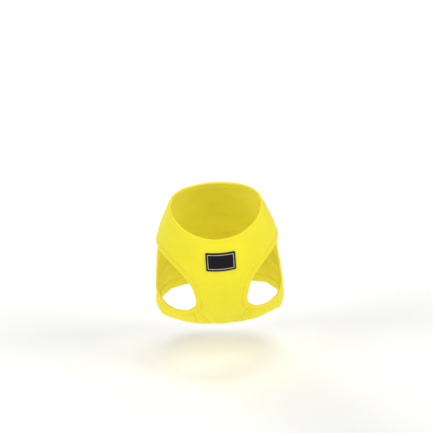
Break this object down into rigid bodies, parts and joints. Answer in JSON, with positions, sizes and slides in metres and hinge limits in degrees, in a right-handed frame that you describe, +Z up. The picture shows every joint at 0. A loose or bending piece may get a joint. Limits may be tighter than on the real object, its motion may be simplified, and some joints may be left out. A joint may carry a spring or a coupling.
{
  "type": "dog tank top",
  "caption": "Sleeveless pull-on top for a small dog, a short leaning tube of cloth with round neck, stitched armhole bands, chest label and a hem that runs longer on the back.",
  "frame": {"origin": "on the inside of the back panel, 20 mm behind the neck edge on the middle line, where the wearer's back holds the top up", "axes": "+Z up as it is worn by a sitting dog, -Y the way the wearer faces, +X the wearer's left; the back panel slopes down towards +Y"},
  "size_m": [0.1147, 0.1585, 0.1163],
  "materials": {
    "yellow_cloth": "smooth matte bright yellow cloth",
    "yellow_band": "the same cloth, slightly warmer where it is doubled and topstitched",
    "black_label": "near-black woven patch with a thin grey border line"
  },
  "bodies": {
    "root": {"front_panel": "yellow_cloth", "back_panel": "yellow_cloth", "armhole_band_left": "yellow_band", "armhole_band_right": "yellow_band", "chest_label": "black_label"}
  },
  "joints": []
}
